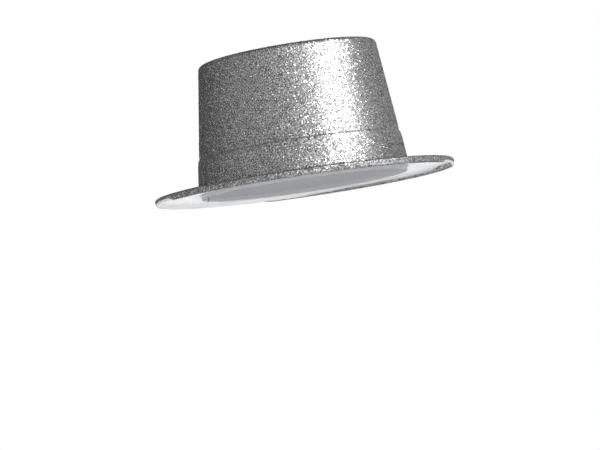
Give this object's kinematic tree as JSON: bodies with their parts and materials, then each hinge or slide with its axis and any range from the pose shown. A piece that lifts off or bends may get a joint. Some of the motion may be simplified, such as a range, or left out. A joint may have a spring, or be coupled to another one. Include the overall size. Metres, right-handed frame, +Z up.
{
  "type": "glitter party top hat",
  "caption": "Moulded party top hat with an oval leaning crown, a flat brim with a turned-down lip, a hat band, a sweatband and an all-over glitter coat.",
  "frame": {"origin": "middle of the hat, on the table that the edge of its brim stands on", "axes": "+X to the front of the hat, +Y to the wearer's left, +Z up through the crown"},
  "size_m": [0.295, 0.258, 0.1285],
  "materials": {
    "white_plastic": "white moulded PVC sheet, satin",
    "silver_glitter": "silver metallised plastic flakes glued on close together",
    "grey_tape": "pale grey woven tape",
    "white_label": "blank woven label"
  },
  "bodies": {
    "root": {"moulded_shell": "white_plastic", "crown_glitter": "silver_glitter", "brim_glitter": "silver_glitter", "hat_band": "silver_glitter", "sweatband": "grey_tape", "blank_label": "white_label"}
  },
  "joints": []
}
